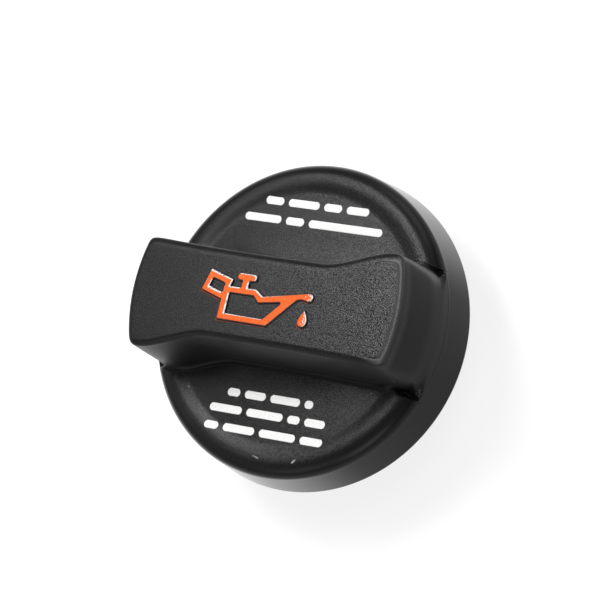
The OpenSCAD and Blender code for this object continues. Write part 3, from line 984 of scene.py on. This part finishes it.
shellFinish = {    # scales per m, lengths in m
    "smooth": (0.005, 0.005, 0.0051, 1), "grained": (0.008, 0.008, 0.0081, 1),
    # On the next line, the lighter grey after the dust is a painted highlight for the light band on the right
    # end's edge
    "dust": (0.45, 0.45, 0.44, 1), "highlightGrey": (0.09, 0.09, 0.09, 1),
    "roughness": 0.44, "padRoughness": -0.12, "skirtRoughness": -0.29,
    "cloudScale": 90.0, "cloudRoughness": 0.12,
    "specular": 0.16,    # of the grained parts
    "wallShine": (0.14, 0.8), "slant": (0.55, 0.78),    # of smooth ones, face on and slanting, and when
    "skirtShine": -0.03,
    "skirtFrom": (crestZ * mm, (crestZ - 2.5) * mm),    # where the finish turns to the skirt's
    "grainShine": 2.1, "peakMiddle": 0.45,    # how much more the grain's peaks shine than its pits
    "shineAt": (-0.022, 0.008), "shineShare": (0.2, 1.0),    # and the share of that along X
    "grainScale": 5200.0, "grainDepth": 0.00004, "grainEverywhere": 0.07,
    "fineScale": 2.2, "finePits": 0.2, "fineHeight": 0.05,
    "dustScale": 420.0, "dustAmount": 0.16, "dustSize": 0.02, "dustCover": 0.8, "highlightPatches": (0.5, 0.6),
    "scratches": [    # start, end, half width and strength
        ((0.0212, -0.0009, padZ * mm), (0.0278, 0.0055, padZ * mm), 0.0006, 0.045),
        ((-0.0016, -0.0303, crestZ * mm), (-0.0004, -0.0306, crestZ * mm), 0.00022, 0.9),
        ((0.0078, -0.0303, crestZ * mm), (0.0083, -0.0297, crestZ * mm), 0.00026, 0.9),
    ],
}


def shellPlastic():
    s = shellFinish
    material, tree, shader, where = newMaterial("grainedBlackPlastic")
    grainHere, paintedHighlight = (addNode(tree, "ShaderNodeAttribute", attribute_name=key).outputs["Fac"]
                        for key in ("grain", "paintedHighlight"))
    grain = useEffect(tree, "grain", where, Scale=s["grainScale"])
    fine = useEffect(tree, "grain", where, Scale=s["grainScale"] * s["fineScale"], Pits=s["finePits"])
    dust = useEffect(tree, "dust", where, Scale=s["dustScale"], Amount=s["dustAmount"], Size=s["dustSize"])
    cloud = noiseAt(tree, where, s["cloudScale"], 3.0)
    place = addNode(tree, "ShaderNodeSeparateXYZ", {0: where}).outputs
    skirt = ranged(tree, place[2], *s["skirtFrom"])

    grained = calc(tree, "MULTIPLY", grainHere, plus(tree, cloud, 0.5), clamp=True)
    colour = blendColour(tree, grained, s["smooth"], s["grained"])
    colour = blendColour(tree, times(tree, dust["Mask"], s["dustCover"]), colour, s["dust"])
    for start, end, width, strength in s["scratches"]:
        scratch = useEffect(tree, "scratch", where, From=start, To=end, Width=width)
        colour = blendColour(tree, times(tree, scratch["Mask"], strength), colour, s["dust"])
    # Painted highlight: where the mesh says so, a lighter grey broken up by the grain's flecks stands in for
    # the light band on the right end's edge
    patches = plus(tree, times(tree, grain["Fleck"], s["highlightPatches"][0]), s["highlightPatches"][1])
    colour = blendColour(tree, calc(tree, "MULTIPLY", paintedHighlight, patches, clamp=True), colour, s["highlightGrey"])

    # The pad shines by the grain's peaks, and the smooth walls by their slant
    along = ranged(tree, place[0], *s["shineAt"], *s["shineShare"])
    peaks = times(tree, grainHere, along, calc(tree, "SUBTRACT", grain["Fleck"], s["peakMiddle"]))
    padShine = times(tree, plus(tree, times(tree, peaks, s["grainShine"]), 1.0), s["specular"])
    slant = addNode(tree, "ShaderNodeLayerWeight", {"Blend": 0.5}).outputs["Facing"]
    wallShine = ranged(tree, slant, *s["slant"], *s["wallShine"], interpolation_type="SMOOTHSTEP")
    wallShine = plus(tree, wallShine, times(tree, skirt, s["skirtShine"]))
    onPad = calc(tree, "MULTIPLY", grainHere, 2.0, clamp=True)
    onWall = calc(tree, "SUBTRACT", 1.0, onPad)
    shine = plus(tree, times(tree, padShine, onPad), times(tree, wallShine, onWall))
    tree.links.new(shine, shader.inputs["Specular IOR Level"])

    rough = plus(tree, s["roughness"], times(tree, grainHere, s["padRoughness"]),
                 times(tree, plus(tree, cloud, -0.5), s["cloudRoughness"]),
                 times(tree, skirt, s["skirtRoughness"]))
    depth = calc(tree, "MAXIMUM", grainHere, s["grainEverywhere"])
    relief = plus(tree, times(tree, grain["Height"], depth), times(tree, fine["Height"], s["fineHeight"]))
    finish(tree, shader, colour, rough, relief, s["grainDepth"])
    return material


plainFinishes = {    # colour, roughness, and the grain's scale and depth
    "satinBlackPlastic": ((0.006, 0.006, 0.0062, 1), 0.4, 5200.0, 0.00001),
    "mattRubber": ((0.008, 0.008, 0.008, 1), 0.62, 2600.0, 0.00002),
    "symbolWall": ((0.005, 0.005, 0.0051, 1), 0.45, 3400.0, 0.00002),
}
plainForm = {    # what these finishes share
    "pits": 0.2, "cloudScale": 120.0, "lighter": 1.5, "cloudRoughness": 0.12, "specular": 0.42,
    "dustScale": 300.0, "dustAmount": 0.02, "dustSize": 0.04, "dustCover": 0.5, "dust": (0.3, 0.3, 0.3, 1),
}


def timesColour(colour, share):
    return tuple(share * c for c in colour[:3]) + (1,)


def plainPlastic(name):
    # A plain colour clouded with a lighter one, dust and fine grain
    s = plainForm
    colour, roughness, scale, depth = plainFinishes[name]
    material, tree, shader, where = newMaterial(name)
    grain = useEffect(tree, "grain", where, Scale=scale, Pits=s["pits"])
    dust = useEffect(tree, "dust", where, Scale=s["dustScale"], Amount=s["dustAmount"], Size=s["dustSize"])
    cloud = noiseAt(tree, where, s["cloudScale"], 3.0)
    shade = blendColour(tree, cloud, colour, timesColour(colour, s["lighter"]))
    shade = blendColour(tree, times(tree, dust["Mask"], s["dustCover"]), shade, s["dust"])
    rough = plus(tree, times(tree, cloud, s["cloudRoughness"]), roughness - s["cloudRoughness"] / 2)
    shader.inputs["Specular IOR Level"].default_value = s["specular"]
    finish(tree, shader, shade, rough, grain["Height"], depth)
    return material


white = (0.78, 0.78, 0.77, 1)
inks = {    # wornFrom is in m along X
    "orangeInk": {"colour": (0.72, 0.12, 0.022, 1), "wornTo": white, "wornFrom": 0.01, "specular": 0.06,
                  "flecks": 0.6},
    "whiteUnderprint": {"colour": (0.66, 0.66, 0.65, 1), "wornTo": (0.05, 0.05, 0.05, 1), "worn": 0.14},
    "thinOrangeInk": {"colour": (0.14, 0.03, 0.014, 1), "wornTo": (0.05, 0.02, 0.015, 1), "specular": 0.1},
    "whiteInk": {"colour": white, "wornTo": (0.35, 0.35, 0.35, 1)},
}
inkForm = {    # what the inks share where they don't say otherwise
    "wornFrom": 1.0, "worn": 0.0, "specular": 0.35, "flecks": 0.25, "fleckShade": 0.72,
    "grainScale": 3400.0, "grainDepth": 0.00003, "patchScale": 2600.0, "patches": (0.66, 0.78),
    "wornRun": 0.0025, "wornMore": 0.35, "roughness": 0.42, "patchRoughness": 0.15,
}


def printedInk(name):
    # Ink takes the grain below it. Right of wornFrom it thins out in flecks to what lies under it, and with
    # worn above 0 a little everywhere.
    s = {**inkForm, **inks[name]}
    material, tree, shader, where = newMaterial(name)
    grain = useEffect(tree, "grain", where, Scale=s["grainScale"])
    x = addNode(tree, "ShaderNodeSeparateXYZ", {0: where}).outputs[0]
    past = ranged(tree, x, s["wornFrom"], s["wornFrom"] + s["wornRun"])
    patchy = noiseAt(tree, where, s["patchScale"], 2.0)
    thin = ranged(tree, plus(tree, patchy, times(tree, past, s["wornMore"])),
                  *(limit - s["worn"] for limit in s["patches"]))
    shade = blendColour(tree, thin, s["colour"], s["wornTo"])
    flecks = times(tree, grain["Fleck"], s["flecks"])
    shade = blendColour(tree, flecks, shade, timesColour(s["colour"], s["fleckShade"]))
    rough = plus(tree, times(tree, patchy, s["patchRoughness"]), s["roughness"])
    shader.inputs["Specular IOR Level"].default_value = s["specular"]
    finish(tree, shader, shade, rough, grain["Height"], s["grainDepth"])
    return material


print("effects ready")


# floor and light

studio = {
    "floorHalf": 3.0, "floorGap": 0.02 * mm,    # m: half the floor's width, and its way below the neck
    "floorColour": (0.27, 0.27, 0.27, 1), "floorCloud": (0.29, 0.29, 0.29, 1), "cloudScale": 2.0,
    "floorGlow": 0.78, "world": 0.2,
    "lights": [    # degrees round and up, distance and size in m, and level
        ("keyBox", 129, 66, 0.35, 0.15, 0.62),
        ("highBox", 140, 75, 0.42, 0.12, 0.14),
        ("softBox", 130, 50, 0.6, 0.2, 0.19),
        ("edgeBox", 25, 65, 0.6, 0.2, 0.08),
        ("rimBox", 80, 22, 0.8, 0.5, 0.26),
        ("backBox", 180, 35, 0.8, 0.5, 0.12),
        ("leftBox", 225, 30, 0.8, 0.5, 0.05),
        ("frontBox", 300, 20, 0.8, 0.4, 0.25),
        ("lowBox", 260, 25, 0.8, 0.4, 0.15),
    ],
}


def studioFloor():
    half, z = studio["floorHalf"], cadBox[0][2] - studio["floorGap"]
    mesh = bpy.data.meshes.new("studioFloor")
    corners = [(-half, -half, z), (half, -half, z), (half, half, z), (-half, half, z)]
    mesh.from_pydata(corners, [], [(0, 1, 2, 3)])
    floor = bpy.data.objects.new("studioFloor", mesh)
    bpy.context.scene.collection.objects.link(floor)
    material, tree, shader, where = newMaterial("paleFloor")
    cloud = noiseAt(tree, where, studio["cloudScale"], 2.0)
    shade = blendColour(tree, cloud, studio["floorColour"], studio["floorCloud"])
    tree.links.new(shade, shader.inputs["Base Color"])
    shader.inputs["Roughness"].default_value = 1.0
    shader.inputs["Specular IOR Level"].default_value = 0.0
    shader.inputs["Emission Color"].default_value = (1, 1, 1, 1)
    path = addNode(tree, "ShaderNodeLightPath").outputs
    seen = calc(tree, "MAXIMUM", path["Is Camera Ray"], path["Is Glossy Ray"])
    seen = calc(tree, "MAXIMUM", seen, path["Is Transmission Ray"])
    tree.links.new(times(tree, seen, studio["floorGlow"]), shader.inputs["Emission Strength"])
    mesh.materials.append(material)


def studioLight():
    world = bpy.data.worlds.new("studioWorld")
    world.use_nodes = True
    tree = world.node_tree
    tree.nodes.clear()
    background = addNode(tree, "ShaderNodeBackground", {"Color": (1, 1, 1, 1), "Strength": studio["world"]})
    tree.links.new(background.outputs[0], addNode(tree, "ShaderNodeOutputWorld").inputs[0])
    bpy.context.scene.world = world
    for name, azimuth, elevation, distance, size, level in studio["lights"]:
        # A white face turned to a lamp shows its level, which takes pi^2 distance^2 watts for a level of 1
        a, e = math.radians(azimuth), math.radians(elevation)
        place = Vector((math.cos(a) * math.cos(e), math.sin(a) * math.cos(e), math.sin(e))) * distance
        data = bpy.data.lights.new(name, "AREA")
        data.shape, data.size, data.energy = "DISK", size, level * (math.pi * distance) ** 2
        light = bpy.data.objects.new(name, data)
        bpy.context.scene.collection.objects.link(light)
        light.location = place
        light.rotation_euler = place.to_track_quat("Z", "Y").to_euler()


capShell([shellPlastic()])
bayonetNeck([plainPlastic("satinBlackPlastic")])
sealRing([plainPlastic("mattRubber")])
symbolInks = ("orangeInk", "whiteUnderprint", "thinOrangeInk")
raisedSymbol([plainPlastic("symbolWall")] + [printedInk(name) for name in symbolInks])
whitePrint([printedInk("whiteInk")])
studioFloor()
studioLight()
print("floor and lamps placed")

scene = bpy.context.scene
scene.view_settings.view_transform = "Standard"
